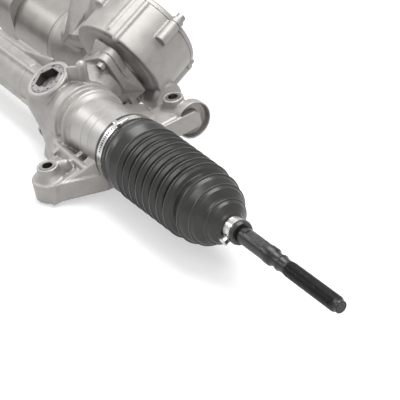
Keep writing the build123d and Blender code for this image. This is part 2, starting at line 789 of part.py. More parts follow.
def allNodes():
    yield "rack_housing", rackHousing()
    yield "lug_sleeves", lugSleeves()
    yield "rack_bar", rackBar()
    bush = ring(rackAxis, tubeBore - fitGap, rackRadius + runGap, bushEnd, stopX)
    for name, piece in (("rack_bush", bush), ("ball_socket", ballSocket()), ("ball_seat", ballSeat()),
                        ("tie_rod", tieRod()), ("boot", boot()), ("boot_clamp_large", largeBand()),
                        ("boot_clamp_small", smallClamp())):
        yield name + "_right", piece
        yield name + "_left", otherEnd(piece)
    for name, station in (("drive", drive), ("input", steer)):
        yield name + "_yoke", yokeSlide(station)
        yield name + "_yoke_pad", yokePad(station)
        yield name + "_yoke_spring", yokeSpring(station)
        yield name + "_yoke_plug", yokePlug(station)
        yield name + "_bearing_lower", bearing(station.pinion, lowerBearing)
        yield name + "_bearing_upper", bearing(station.pinion, upperBearing)
        yield name + "_bearing_nut", bearingNut(station)
        yield name + "_end_cap", endCap(station)
    yield "drive_pinion", drivePinion()
    yield "worm_wheel", wormWheel()
    yield "drive_bearing_end", bearing(drive.pinion, endBearing)
    yield "worm_shaft", wormShaft()
    yield from wormBearings()
    yield "worm_coupling", coupling()
    yield "gearbox_housing", gearboxHousing()
    yield "gearbox_cover", gearboxCover()
    yield "gearbox_bolts", gearboxBolts()
    yield "cover_bolts", coverBolts()
    yield "motor_housing", motorHousing()
    yield "motor_stator", motorStator()
    yield "motor_rotor", motorRotor()
    yield "ecu_housing", ecuHousing()
    yield "ecu_cover", ecuCover()
    yield "input_pinion", inputPinion()
    yield "torsion_bar", torsionBar()
    yield "input_shaft", inputShaft()
    yield "sensor_housing", sensorHousing()
    yield "input_shaft_bearing", bearing(steer.pinion, inputShaftBearing)
    yield "input_seal", inputSeal()


os.makedirs("parts", exist_ok=True)
for name, piece in allNodes():
    export_step(place(piece), "parts/" + name + ".step")
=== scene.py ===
import bmesh
import bpy
from math import cos, pi, radians, sin
from mathutils import Matrix, Vector


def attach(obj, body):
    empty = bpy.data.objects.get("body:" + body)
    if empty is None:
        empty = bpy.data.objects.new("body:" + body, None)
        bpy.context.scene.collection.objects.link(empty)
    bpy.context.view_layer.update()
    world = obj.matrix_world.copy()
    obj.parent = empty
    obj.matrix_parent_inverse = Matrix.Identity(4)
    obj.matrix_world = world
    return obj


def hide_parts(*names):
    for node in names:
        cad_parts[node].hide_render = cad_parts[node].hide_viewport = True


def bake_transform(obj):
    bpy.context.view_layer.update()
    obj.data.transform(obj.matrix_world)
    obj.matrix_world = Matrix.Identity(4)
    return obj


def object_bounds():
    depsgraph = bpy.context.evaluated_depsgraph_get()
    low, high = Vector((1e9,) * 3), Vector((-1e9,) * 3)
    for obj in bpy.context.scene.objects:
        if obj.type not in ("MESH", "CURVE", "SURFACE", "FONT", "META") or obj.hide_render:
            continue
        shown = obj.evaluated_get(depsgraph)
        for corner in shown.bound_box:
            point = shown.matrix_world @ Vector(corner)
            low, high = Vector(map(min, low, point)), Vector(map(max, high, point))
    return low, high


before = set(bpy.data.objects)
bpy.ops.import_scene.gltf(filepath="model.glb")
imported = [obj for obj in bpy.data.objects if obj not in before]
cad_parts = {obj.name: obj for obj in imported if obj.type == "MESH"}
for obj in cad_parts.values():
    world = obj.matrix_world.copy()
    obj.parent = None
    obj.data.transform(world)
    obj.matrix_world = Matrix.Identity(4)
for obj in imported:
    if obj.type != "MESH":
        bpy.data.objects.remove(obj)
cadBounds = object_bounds()
print("frame loaded")

# The rack's own axes, in mm: X along the rack, Z along the mounting bolts, the rack axis at Y = 0, Z = 0.
# rackToRow turns them to the rest position on the floor, in metres.
layout = {
    "restTilt": 10.5,
    "seat": (0, -70, -3.2),      # the front lug's seat
    "ball": 62.0,                # right inner ball joint
    "middle": -288.0,            # half way between the balls
    "driveX": -88.0,             # the motor's pinion and its yoke
    "driveTilt": 20.5,           # the yoke's turn about the rack
    "driveLean": 10.0,           # the pinion's lean against the rack
    "inputX": -488.0,            # the column's pinion and its yoke
    "inputTilt": 90.0,
    "inputLean": 12.0,
    "pinionOffset": 17.5,        # between the pinion's axis and the rack's
    "wormOffset": 45.08,         # between the worm's axis and the wheel's
    "wheelPlace": 87.0,          # the worm wheel along the pinion
}
metre = Matrix.Scale(0.001, 4)
rackToRow = metre @ Matrix.Rotation(radians(layout["restTilt"]), 4, "X") @ Matrix.Translation(
    -Vector(layout["seat"]))


def axes(origin, xDirection, zDirection):
    z = Vector(zDirection).normalized()
    x = Vector(xDirection)
    x = (x - z * x.dot(z)).normalized()
    y = z.cross(x)
    turn = Matrix((x, y, z)).transposed().to_4x4()
    return Matrix.Translation(origin) @ turn


def stationAxes(x, tilt, lean):
    outward = Vector((0, -sin(radians(tilt)), cos(radians(tilt))))
    across = Vector((0, cos(radians(tilt)), sin(radians(tilt))))
    spin = across * cos(radians(lean)) - Vector((1, 0, 0)) * sin(radians(lean))
    roll = Vector((1, 0, 0)) * cos(radians(lean)) + across * sin(radians(lean))
    centre = Vector((x, 0, 0))
    yoke = axes(centre, (1, 0, 0), outward)
    pinion = axes(centre - outward * layout["pinionOffset"], roll, spin)
    return yoke, pinion, outward


driveYoke, drivePinion, driveOut = stationAxes(layout["driveX"], layout["driveTilt"], layout["driveLean"])
inputYoke = stationAxes(layout["inputX"], layout["inputTilt"], layout["inputLean"])[0]
rackAxes = axes((0, 0, 0), (0, 1, 0), (1, 0, 0))
ballAxes = axes((layout["ball"], 0, 0), (0, 1, 0), (1, 0, 0))
wormCentre = drivePinion @ Vector((0, 0, layout["wheelPlace"])) - driveOut * layout["wormOffset"]
otherEnd = Matrix.Translation((2 * layout["middle"], 0, 0)) @ Matrix.Scale(-1, 4, (1, 0, 0))
rackEnds = (("right", Matrix.Identity(4)), ("left", otherEnd))


# Materials

def toLinear(code):
    channels = [int(code[i:i + 2], 16) / 255 for i in (1, 3, 5)]
    return tuple([c / 12.92 if c <= 0.04045 else ((c + 0.055) / 1.055) ** 2.4 for c in channels] + [1.0])


def addNode(tree, kind, inputs=None, **settings):
    node = tree.nodes.new(kind)
    for name, value in settings.items():
        setattr(node, name, value)
    for name, value in (inputs or {}).items():
        if isinstance(value, bpy.types.NodeSocket):
            tree.links.new(value, node.inputs[name])
        else:
            node.inputs[name].default_value = value
    return node


def newMaterial(name):
    material = bpy.data.materials.new(name)
    material.use_nodes = True
    tree = material.node_tree
    tree.nodes.clear()
    output = addNode(tree, "ShaderNodeOutputMaterial")
    place = addNode(tree, "ShaderNodeTexCoord").outputs["Object"]
    return material, tree, output, place


def grain(tree, place, sizeMm, detail=3.0):
    # One noise with lumps of about sizeMm.
    return addNode(tree, "ShaderNodeTexNoise", {"Vector": place, "Scale": 1000 / sizeMm, "Detail": detail})


noiseBand = (0.3, 0.7)      # what the mixed noise really fills


def surface(name, values):
    material, tree, output, place = newMaterial(name)
    fine = grain(tree, place, values["grainMm"])
    broad = grain(tree, place, values["patchMm"], 2.0)
    low, high = noiseBand
    mix = addNode(tree, "ShaderNodeMath", {0: fine.outputs["Fac"], 1: broad.outputs["Fac"]},
                  operation="ADD")
    half = addNode(tree, "ShaderNodeMath", {0: mix.outputs[0], 1: 0.5}, operation="MULTIPLY")
    ramp = addNode(tree, "ShaderNodeValToRGB", {"Fac": half.outputs[0]})
    ramp.color_ramp.elements[0].position = low
    ramp.color_ramp.elements[0].color = toLinear(values["dark"])
    ramp.color_ramp.elements[1].position = high
    ramp.color_ramp.elements[1].color = toLinear(values["light"])
    rough = addNode(tree, "ShaderNodeMapRange", {
        "Value": half.outputs[0], "From Min": low, "From Max": high,
        "To Min": values["smooth"], "To Max": values["rough"]})
    bump = addNode(tree, "ShaderNodeBump", {
        "Strength": values["bump"], "Distance": values["grainMm"] / 4000, "Height": fine.outputs["Fac"]})
    shader = addNode(tree, "ShaderNodeBsdfPrincipled", {
        "Base Color": ramp.outputs["Color"], "Metallic": values["metal"],
        "Roughness": rough.outputs["Result"], "Specular IOR Level": values.get("specular", 0.5),
        "Normal": bump.outputs["Normal"]})
    tree.links.new(shader.outputs[0], output.inputs["Surface"])
    return material


finishes = {
    # die-cast aluminium, shot blasted: a pale matt grey skin with a fine even grain
    "castAluminium": dict(dark="#8B8885", light="#A4A19E", metal=0.6, bump=0.45,
        grainMm=0.9, patchMm=14, smooth=0.40, rough=0.54),
    # the same alloy where a cutter has passed: brighter and smoother
    "machinedAluminium": dict(dark="#686664", light="#989695", metal=0.8, bump=0.3,
        grainMm=0.8, patchMm=4, smooth=0.28, rough=0.42),
    # the alloy as turned with a coarse feed, dull again from the wash
    "neckAluminium": dict(dark="#989693", light="#AEACA9", metal=0.65, bump=0.25,
        grainMm=0.8, patchMm=16, smooth=0.32, rough=0.44),
    # painted shade for the plug's hexagon socket: a dark colour that stands in for the shade in its hollow
    "paintedSocketShade": dict(dark="#2C2B27", light="#45443E", metal=0.3, bump=0.2,
        grainMm=0.7, patchMm=5, smooth=0.35, rough=0.5),
    # bottom of a punched stake mark, where no light reaches
    "stakeShadow": dict(dark="#0E0D0D", light="#171615", metal=0.2, bump=0.1,
        grainMm=0.5, patchMm=4, smooth=0.6, rough=0.7),
    # chloroprene rubber, moulded: soft black with a faint grey bloom
    "bootRubber": dict(dark="#1B1A19", light="#272624", metal=0.0, bump=0.15, specular=0.5,
        grainMm=0.8, patchMm=22, smooth=0.25, rough=0.36),
    # steel with a black phosphate and wax coat: satin, almost black
    "blackSteel": dict(dark="#0B0B0C", light="#141416", metal=0.0, bump=0.2, specular=0.45,
        grainMm=0.5, patchMm=10, smooth=0.20, rough=0.34),
    # stainless strip, cold rolled: bright with soft streaks
    "bandSteel": dict(dark="#B4B3B1", light="#CBCAC8", metal=1.0, bump=0.1,
        grainMm=0.5, patchMm=6, smooth=0.16, rough=0.30),
    # turned free-cutting steel, oiled
    "turnedSteel": dict(dark="#8F8D8B", light="#A9A7A4", metal=1.0, bump=0.12,
        grainMm=0.4, patchMm=8, smooth=0.22, rough=0.36),
    # ground and hardened steel of rack and pinions
    "hardSteel": dict(dark="#7D7C7C", light="#95948F", metal=1.0, bump=0.08,
        grainMm=0.3, patchMm=8, smooth=0.15, rough=0.28),
    # zinc-flake coated steel screws
    "zincSteel": dict(dark="#7E7D7B", light="#969492", metal=0.9, bump=0.2,
        grainMm=0.4, patchMm=5, smooth=0.34, rough=0.46),
    # drawn steel motor can, electroplated
    "motorCan": dict(dark="#8E8B88", light="#A19E9A", metal=0.9, bump=0.12,
        grainMm=0.7, patchMm=18, smooth=0.34, rough=0.46),
    # natural nylon, moulded
    "naturalNylon": dict(dark="#D8D1BE", light="#E4DECD", metal=0.0, bump=0.1,
        grainMm=0.8, patchMm=12, smooth=0.4, rough=0.5),
    # black glass-filled nylon of the connectors
    "darkNylon": dict(dark="#202021", light="#2B2B2C", metal=0.0, bump=0.15,
        grainMm=0.7, patchMm=9, smooth=0.42, rough=0.54),
    # stacked lamination steel, varnished
    "laminationSteel": dict(dark="#54504C", light="#68645F", metal=0.8, bump=0.3,
        grainMm=0.5, patchMm=6, smooth=0.38, rough=0.5),
}
finish = {name: surface(name, values) for name, values in finishes.items()}
slotFinish = {"cast_aluminium": "castAluminium", "turned_steel": "turnedSteel", "hard_steel": "hardSteel",
              "black_steel": "blackSteel", "band_steel": "bandSteel", "boot_rubber": "bootRubber",
              "nylon_natural": "naturalNylon", "nylon_dark": "darkNylon", "motor_can": "motorCan",
              "lamination_steel": "laminationSteel"}
print("materials made")


# Building helpers

def pieceFrom(name, bm, place, material, body, nodes=(), angle=35, inverted=False):
    # bm is in mm in its own axes; place takes those to the rack's axes.
    bm.transform(rackToRow @ place)
    if inverted:
        bmesh.ops.reverse_faces(bm, faces=bm.faces)
    mesh = bpy.data.meshes.new(name)
    bm.to_mesh(mesh)
    bm.free()
    return pieceOf(name, mesh, material, body, nodes, angle)


def pieceOf(name, mesh, material, body, nodes=(), angle=35):
    mesh.materials.clear()
    mesh.materials.append(finish[material])
    mesh.shade_smooth()
    mesh.set_sharp_from_angle(angle=radians(angle))
    piece = bpy.data.objects.new(name, mesh)
    bpy.context.collection.objects.link(piece)
    if body:
        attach(piece, body)
    if nodes:
        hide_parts(*nodes)
    return piece


def profile(points, closed=False, rounding=0.0):
    # A line of edges in the XZ plane from (radius, along) pairs, its corners rounded.
    bm = bmesh.new()
    verts = [bm.verts.new((radius, 0, along)) for radius, along in points]
    for first, second in zip(verts, verts[1:]):
        bm.edges.new((first, second))
    if closed:
        bm.edges.new((verts[-1], verts[0]))
    if rounding:
        soft = [v for v in verts if len(v.link_edges) == 2]
        bmesh.ops.bevel(bm, geom=soft, offset=rounding, offset_type="OFFSET", affect="VERTICES",
                        segments=4, profile=0.5, material=-1, clamp_overlap=True)
    return bm


def spun(bm, steps):
    bmesh.ops.spin(bm, geom=bm.verts[:] + bm.edges[:], cent=(0, 0, 0), axis=(0, 0, 1), angle=2 * pi,
                   steps=steps, use_merge=True)
    bmesh.ops.remove_doubles(bm, verts=bm.verts, dist=0.0005)
    bmesh.ops.recalc_face_normals(bm, faces=bm.faces)
    return bm


def turned(points, steps=96):
    return spun(profile(points, True), steps)


def evaluated(piece):
    # The mesh with its modifiers applied.
    graph = bpy.context.evaluated_depsgraph_get()
    return bpy.data.meshes.new_from_object(piece.evaluated_get(graph))


def nodeCopy(name, bm):
    # Adds a merged copy of a CAD node to bm, in the rack's axes and mm.
    part = bmesh.new()
    part.from_mesh(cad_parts[name].data)
    bmesh.ops.remove_doubles(part, verts=part.verts, dist=1e-6)
    part.transform(rackToRow.inverted())
    temporary = bpy.data.meshes.new("copy")
    part.to_mesh(temporary)
    part.free()
    bm.from_mesh(temporary)
    bpy.data.meshes.remove(temporary)


def castPiece(name, bm, size, nodes, cutter=None):
    # Fuses what is in bm into one skin, softens its edges as a casting's, and thins it.
    bm.transform(rackToRow)
    mesh = bpy.data.meshes.new(name)
    bm.to_mesh(mesh)
    bm.free()
    voxelMm, rounds, most = castings[size]
    raw = bpy.data.objects.new(name + "Raw", mesh)
    bpy.context.collection.objects.link(raw)
    remesh = raw.modifiers.new("skin", "REMESH")
    remesh.mode = "VOXEL"
    remesh.voxel_size = voxelMm / 1000
    soften = raw.modifiers.new("soften", "SMOOTH")
    soften.factor = 0.5
    soften.iterations = rounds
    skin = evaluated(raw)
    if cutter:
        raw.modifiers.clear()
        raw.data = skin
        cut = raw.modifiers.new("bore", "BOOLEAN")
        cut.operation = "DIFFERENCE"
        cut.solver = "MANIFOLD"
        cut.object = cutter
        skin = evaluated(raw)
        bpy.data.objects.remove(cutter)
    count = sum(len(face.vertices) - 2 for face in skin.polygons)
    if count > most:
        raw.modifiers.clear()
        raw.data = skin
        thin = raw.modifiers.new("thin", "DECIMATE")
        thin.ratio = most / count
        skin = evaluated(raw)
    bpy.data.objects.remove(raw)
    print(name, "triangles before thinning", count)
    return pieceOf(name, skin, "castAluminium", "housing", nodes, angle=60)


# Castings

def rounded(bm, balls):
    # A lump of casting: the hull round balls given as (x, y, z, radius) in the rack's axes.
    lump = bmesh.new()
    for x, y, z, radius in balls:
        bmesh.ops.create_icosphere(lump, subdivisions=3, radius=radius,
                                   matrix=Matrix.Translation((x, y, z)))
    hull = bmesh.ops.convex_hull(lump, input=lump.verts, use_existing_faces=False)
    spare = [e for e in hull["geom_interior"] + hull["geom_unused"] if isinstance(e, bmesh.types.BMVert)]
    bmesh.ops.delete(lump, geom=list(set(spare)), context="VERTS")
    joinInto(bm, lump)


def joinInto(bm, part):
    temporary = bpy.data.meshes.new("part")
    part.to_mesh(temporary)
    part.free()
    bm.from_mesh(temporary)
    bpy.data.meshes.remove(temporary)


def turnedInto(bm, points, place, steps=96):
    part = turned(points, steps)
    part.transform(place)
    joinInto(bm, part)


def slab(bm, outline, start, end, place=Matrix.Identity(4)):
    # A plate: the outline in the YZ plane, from start to end along X.
    part = bmesh.new()
    face = part.faces.new([part.verts.new((start, y, z)) for y, z in outline])
    grown = bmesh.ops.extrude_face_region(part, geom=[face])
    moved = [v for v in grown["geom"] if isinstance(v, bmesh.types.BMVert)]
    bmesh.ops.translate(part, verts=moved, vec=(end - start, 0, 0))
    bmesh.ops.recalc_face_normals(part, faces=part.faces)
    part.transform(place)
    joinInto(bm, part)


def boxCut(bm, low, high):
    # Takes a box out of what is in bm.
    holder = bpy.data.objects.new("holder", bpy.data.meshes.new("holder"))
    bm.to_mesh(holder.data)
    cutter = bpy.data.objects.new("cutter", bpy.data.meshes.new("cutter"))
    part = bmesh.new()
    middle = (Vector(low) + Vector(high)) / 2
    size = Vector(high) - Vector(low)
    bmesh.ops.create_cube(part, size=1, matrix=Matrix.Translation(middle) @ Matrix.Diagonal((*size, 1)))
    part.to_mesh(cutter.data)
    part.free()
    for piece in (holder, cutter):
        bpy.context.collection.objects.link(piece)
    cut = holder.modifiers.new("cut", "BOOLEAN")
    cut.operation = "DIFFERENCE"
    cut.solver = "EXACT"
    cut.object = cutter
    result = evaluated(holder)
    bm.clear()
    bm.from_mesh(result)
    for piece in (holder, cutter):
        bpy.data.objects.remove(piece)
    bpy.data.meshes.remove(result)


def keepSide(bm, x, side):
    # Cuts across the rack at x, keeps one side and closes the cut.
    cut = bmesh.ops.bisect_plane(bm, geom=bm.verts[:] + bm.edges[:] + bm.faces[:], dist=1e-4,
                                 plane_co=(x, 0, 0), plane_no=(side, 0, 0), clear_inner=True)
    rim = [e for e in cut["geom_cut"] if isinstance(e, bmesh.types.BMEdge)]
    bmesh.ops.triangle_fill(bm, use_beauty=True, use_dissolve=False, edges=rim)
    bmesh.ops.recalc_face_normals(bm, faces=bm.faces)


castings = {
    # voxel in mm, rounds of smoothing, most triangles
    "near": (0.85, 4, 190000),
    "far": (1.5, 3, 150000),
    "gearbox": (0.9, 4, 170000),
    "split": -150.0,                    # where near and far casting meet
    "boreRoom": 0.8,                    # play round the rack and its sockets
    "slide": 75.5,                      # travel of the rack, and half a millimetre
    "farBolt": -560.0,
    "neckInner": 30.0, "neckRadius": 32.3, "neckStart": -18.0, "neckEnd": 40.3, "neckEdge": 0.6,
    "neckGrooves": (3.0, 16.5), "grooveHalf": 0.7, "grooveDepth": 0.9,
    # profiles are of radius and place along their axis
    "collar": ((20, -50), (33.5, -50), (34.2, -34), (36.6, -29.5), (37, -28), (36.4, -26.2), (33.8, -24),
               (32.6, -20), (32, -16), (31, -10), (20, -10)),
    "disc": ((0.01, -8), (19, -8), (20.6, -6), (20.6, 5), (19, 5), (18.4, -3), (0.01, -3)),
    "discCentre": (2, 96, -27),
    "drumStart": ((38, 75), (56, 75), (57, 76), (57, 86), (38, 86)),
    # outlines of plates are of y and z, their ends along x
    "lugPlate": ((2, -36.2), (2, -17), (9, -15.8), (33, -3.5), (44, -1), (60, 2), (60, -36.2)),
    "lugPlateEnds": (-17, -0.4), "lugPlatePlace": (18.2, -66), "lugPlateTurn": -25.5,
    "rearBlock": ((52, -36), (52, -17.5), (56, -16), (98, -16), (103, -20), (104, -32), (101, -36)),
    "rearBlockEnds": (-26, 9),
    "rearCut": ((-49, 61, -45), (-30.5, 119, 12)),
    # posts of the drum by angle, ends along the pinion and radius
    "posts": ((57, 76, 127, 4.2), (71, 82, 127, 4.2), (200, 90, 127, 4), (300, 90, 127, 4)),
    "postReach": 54.5,
    "earAngles": (350, 240), "earReach": 45.0,
}

# Lumps of casting: x, y, z and radius of each ball in the rack's axes. The lug's three count x from the
# bolt, and webPlate is in the axes of the drive pinion.
lumps = {
    "lugBoss": ((1, -60, -7, 4.5), (5, -53, -6.5, 4), (5, -50, -20, 6), (-1, -60, -20, 6)),
    "lugToe": ((6, -56, -20, 2.2), (21, -58, -19, 2.2), (12, -50, -26, 4)),
    "lugWall": ((-58, -38, -13, 5), (24, -42, -10, 3.5), (-56, -44, -28, 6), (20, -48, -28, 6),
                (-56, -28, -28, 6), (22, -28, -28, 6)),
    "rearArm": ((-20, 60, -24, 10), (-46, 64, -24, 9), (-10, 34, -20, 12), (-54, 36, -18, 11)),
    "towerFoot": ((-38, -42, -22, 9), (-68, -26, -20, 13), (-60, -12, -10, 24), (-84, -16, -8, 20)),
    "towerRidge": ((-44, -35, -4, 3), (-36, -29, 9, 3), (-70, -26, -10, 12), (-88, -16, 0, 20),
                   (-60, -14, 8, 18)),
    "towerSide": ((-68, -26, -16, 13), (-95, -24, 12, 15), (-70, -14, 0, 20), (-92, -8, 2, 22)),
    "webPlate": ((1, -41, 69.5, 3), (21, -31, 69.5, 3), (36, 20, 66, 3), (4, 37, 45, 3), (-12, 40, 45, 3),
                 (18, -19, 51, 3), (0, 0, 45, 18)),
    "screwPost": ((-50.5, 10, 35, 5.5), (-48, 10, 56, 5.5)),
    "postFoot": ((-56, 14, 24, 6), (-66, 4, 34, 4), (-64, 2, 50, 2.5), (-54, 12, 50, 2.5)),
    "topWeb": ((-152, 7, 31, 2), (-116, 8, 38, 2.2), (-116, 6, 18, 4), (-152, 6, 14, 4)),
    "frontLip": ((-158, -19.5, -14.5, 2.2), (-112, -21, -15, 2.4)),
    "frontLipEdge": ((-158, -21.5, -9.5, 1.6), (-112, -23, -9, 1.6)),
    "farWeb": ((-262, 6, 25, 2), (-182, 6, 26, 2), (-182, 6, 14, 4), (-262, 6, 14, 4)),
    "farWebRise": ((-182, 6, 26, 2), (-149, 7, 31.6, 2), (-149, 6, 14, 4), (-182, 6, 14, 4)),
    "farLip": ((-330, -19.5, -14.5, 2.2), (-148, -19.5, -14.5, 2.2)),
    "farLipEdge": ((-330, -21.5, -9.5, 1.6), (-148, -21.5, -9.5, 1.6)),
    "motorRoot": ((-226, 80, 0, 11), (-226, 100, 10, 12), (-172, 94, 2, 12), (-158, 88, 10, 6),
                  (-204, 80, 4, 7)),
    "motorRidge": ((-222, 74, 4, 2.5), (-190, 79, 12, 2.5), (-160, 84, 16, 2.5), (-190, 88, 0, 5)),
    "motorFace": ((-221, 93, 44, 3), (-207, 112, 41, 3), (-209, 75, 9, 3), (-221, 70, -3, 3),
                  (-215, 110, 0, 10), (-215, 84, -12, 8)),
    "motorPad": ((-207, 110, 40, 4), (-170, 112, 44, 5), (-176, 96, 4, 10), (-212, 92, 6, 6)),
}


def addLumps(bm, *names):
    for name in names:
        rounded(bm, lumps[name])


def lugDetail(bm, bolt):
    # Block, ribs and floor of the lug that carries the bolt at this x.
    c = castings
    x, y = c["lugPlatePlace"]
    edge = Matrix.Translation((bolt + x, y, 0)) @ Matrix.Rotation(radians(c["lugPlateTurn"]), 4, "Z")
    slab(bm, c["lugPlate"], *c["lugPlateEnds"], edge)
    # lump behind the bolt boss, then the wall along the neck with a pocket behind it
    for name in ("lugBoss", "lugToe", "lugWall"):
        rounded(bm, [(bolt + x, y, z, radius) for x, y, z, radius in lumps[name]])


def neckDetail(bm, mirrorPlace):
    # The thick collar between lugs and neck.
    part = bmesh.new()
    turnedInto(part, castings["collar"], rackAxes)
    part.transform(mirrorPlace)
    bmesh.ops.recalc_face_normals(part, faces=part.faces)
    joinInto(bm, part)


def onPinion(balls):
    return [(*(drivePinion @ Vector((roll, down, along))), radius) for roll, down, along, radius in balls]


def housingShape(side):
    # The rack housing from the split towards one end.
    c = castings
    bm = bmesh.new()
    nodeCopy("rack_housing", bm)
    keepSide(bm, c["split"], side)
    if side > 0:
        boxCut(bm, *c["rearCut"])
        addLumps(bm, "rearArm")
        lugDetail(bm, 0)
        neckDetail(bm, Matrix.Identity(4))
        # wall from the yoke's tower down to the lug
        addLumps(bm, "towerFoot", "towerRidge", "towerSide")
        # web plate between pinion tower and gearbox flange
        rounded(bm, onPinion(lumps["webPlate"]))
        # screw post beside the yoke, then the webs of the tube
        addLumps(bm, "screwPost", "postFoot", "topWeb", "frontLip", "frontLipEdge")
        # rear lug: block and round disc with a raised rim
        slab(bm, c["rearBlock"], *c["rearBlockEnds"])
        turnedInto(bm, c["disc"], axes(c["discCentre"], (0, 1, 0), (1, 0, 0)))
    else:
        lugDetail(bm, c["farBolt"])
        neckDetail(bm, otherEnd)
        addLumps(bm, "farWeb", "farWebRise", "farLip", "farLipEdge")
    return bm


def gearboxShape():
    c = castings
    bm = bmesh.new()
    nodeCopy("gearbox_housing", bm)
    for angle, low, high, radius in c["posts"]:
        roll = c["postReach"] * cos(radians(angle))
        down = -c["postReach"] * sin(radians(angle))
        rounded(bm, onPinion([(roll, down, low, radius), (roll, down, high, radius)]))
    # square start of the drum, and the casting that runs from the motor's flange into it
    turnedInto(bm, c["drumStart"], drivePinion, 128)
    addLumps(bm, "motorRoot", "motorRidge", "motorFace", "motorPad")
    for angle in c["earAngles"]:
        y = wormCentre.y + c["earReach"] * cos(radians(angle))
        z = wormCentre.z + c["earReach"] * sin(radians(angle))
        rounded(bm, [(-250, y, z, 6), (-240, y, z, 6),
                     (-246, (y + wormCentre.y) / 2, (z + wormCentre.z) / 2, 9)])
    return bm


def reach(name):
    # Radius round the rack's axis and the two ends of a CAD node.
    bm = bmesh.new()
    nodeCopy(name, bm)
    radius = max(Vector((v.co.y, v.co.z)).length for v in bm.verts)
    ends = [v.co.x for v in bm.verts]
    bm.free()
    return radius, min(ends), max(ends)


def rackBore(far, near, socketStart, socketEnd):
    # Room for the rack from far to near, and for its ball socket over the whole slide.
    rack = reach("rack_bar")[0] + castings["boreRoom"]
    socket = reach("ball_socket_right")[0] + castings["boreRoom"]
    points = [(0.01, far), (rack, far), (rack, near), (0.01, near)]
    ends = [(0.01, socketStart), (socket, socketStart), (socket, socketEnd), (0.01, socketEnd)]
    line = points[:3] + ends[1:] if socketStart == near else ends[:3] + points[1:]
    bm = turned(line, 96)
    bm.transform(rackToRow @ rackAxes)
    mesh = bpy.data.meshes.new("bore")
    bm.to_mesh(mesh)
    bm.free()
    piece = bpy.data.objects.new("bore", mesh)
    bpy.context.collection.objects.link(piece)
    return piece


socketIn = reach("ball_socket_right")[1] - castings["slide"]
farIn = 2 * layout["middle"] - socketIn
castPiece("rack_housing_near", housingShape(1), "near", ["rack_housing"],
          rackBore(-170, socketIn, socketIn, 60))
castPiece("rack_housing_far", housingShape(-1), "far", ["rack_housing"],
          rackBore(farIn, -140, 2 * layout["middle"] - 60, farIn))
castPiece("gearbox_housing_cast", gearboxShape(), "gearbox", ["gearbox_housing"])


def makeNeck(side, mirrorPlace):
    # The turned band of the neck, with its two fine grooves.
    c = castings
    radius = c["neckRadius"]
    end = c["neckEnd"]
    points = [(c["neckInner"], c["neckStart"]), (radius, c["neckStart"])]
    for groove in c["neckGrooves"]:
        points += [(radius, groove - c["grooveHalf"]), (radius - c["grooveDepth"], groove),
                   (radius, groove + c["grooveHalf"])]
    points += [(radius, end - c["neckEdge"]), (radius - c["neckEdge"], end), (c["neckInner"], end)]
    pieceFrom("neck_" + side, turned(points, 160), mirrorPlace @ rackAxes, "neckAluminium", "housing",
              (), 30, mirrorPlace.determinant() < 0)


for side, mirrorPlace in rackEnds:
    makeNeck(side, mirrorPlace)
print("castings made")


# Yoke plugs: staked ring with a hexagon socket

plugShape = {
    "radius": 19.4, "face": 38.8, "thick": 9.6, "edge": 0.6,
    "across": 25.0, "turn": 30.0, "depth": 8.6,                 # the hexagon
    # wall of the dark sheet painted as the socket's shade, and the room left for it below the hexagon
    "linerWall": 0.15, "linerRoom": 0.3,
    # button on the socket's floor: radius and height
    "button": ((0.01, -0.2), (0.01, 0.2), (1.6, 0.2), (1.7, 1.0), (8.4, 1.0), (9.0, 0.3), (9.0, -0.2)),
    # stake marks by angle, length and width
    "stakes": ((8, 2.0, 1.5), (47, 3.4, 1.8), (88, 2.4, 1.3), (121, 4.2, 2.2), (168, 2.2, 1.6),
               (214, 3.2, 1.5), (246, 2.0, 2.0), (291, 2.6, 1.4), (330, 3.0, 1.8)),
    "stakePlace": 17.0, "stakeHeight": 0.5, "stakeSunk": 0.1,
}


def wallFrom(bm, edges, rise, widen=1.0):
    # Draws a wall up from the edges and returns its free edges.
    grown = bmesh.ops.extrude_edge_only(bm, edges=edges)["geom"]
    ring = [v for v in grown if isinstance(v, bmesh.types.BMVert)]
    bmesh.ops.scale(bm, verts=ring, vec=(widen, widen, 1))
    bmesh.ops.translate(bm, verts=ring, vec=(0, 0, rise))
    return [e for e in grown if isinstance(e, bmesh.types.BMEdge) and e.is_boundary]


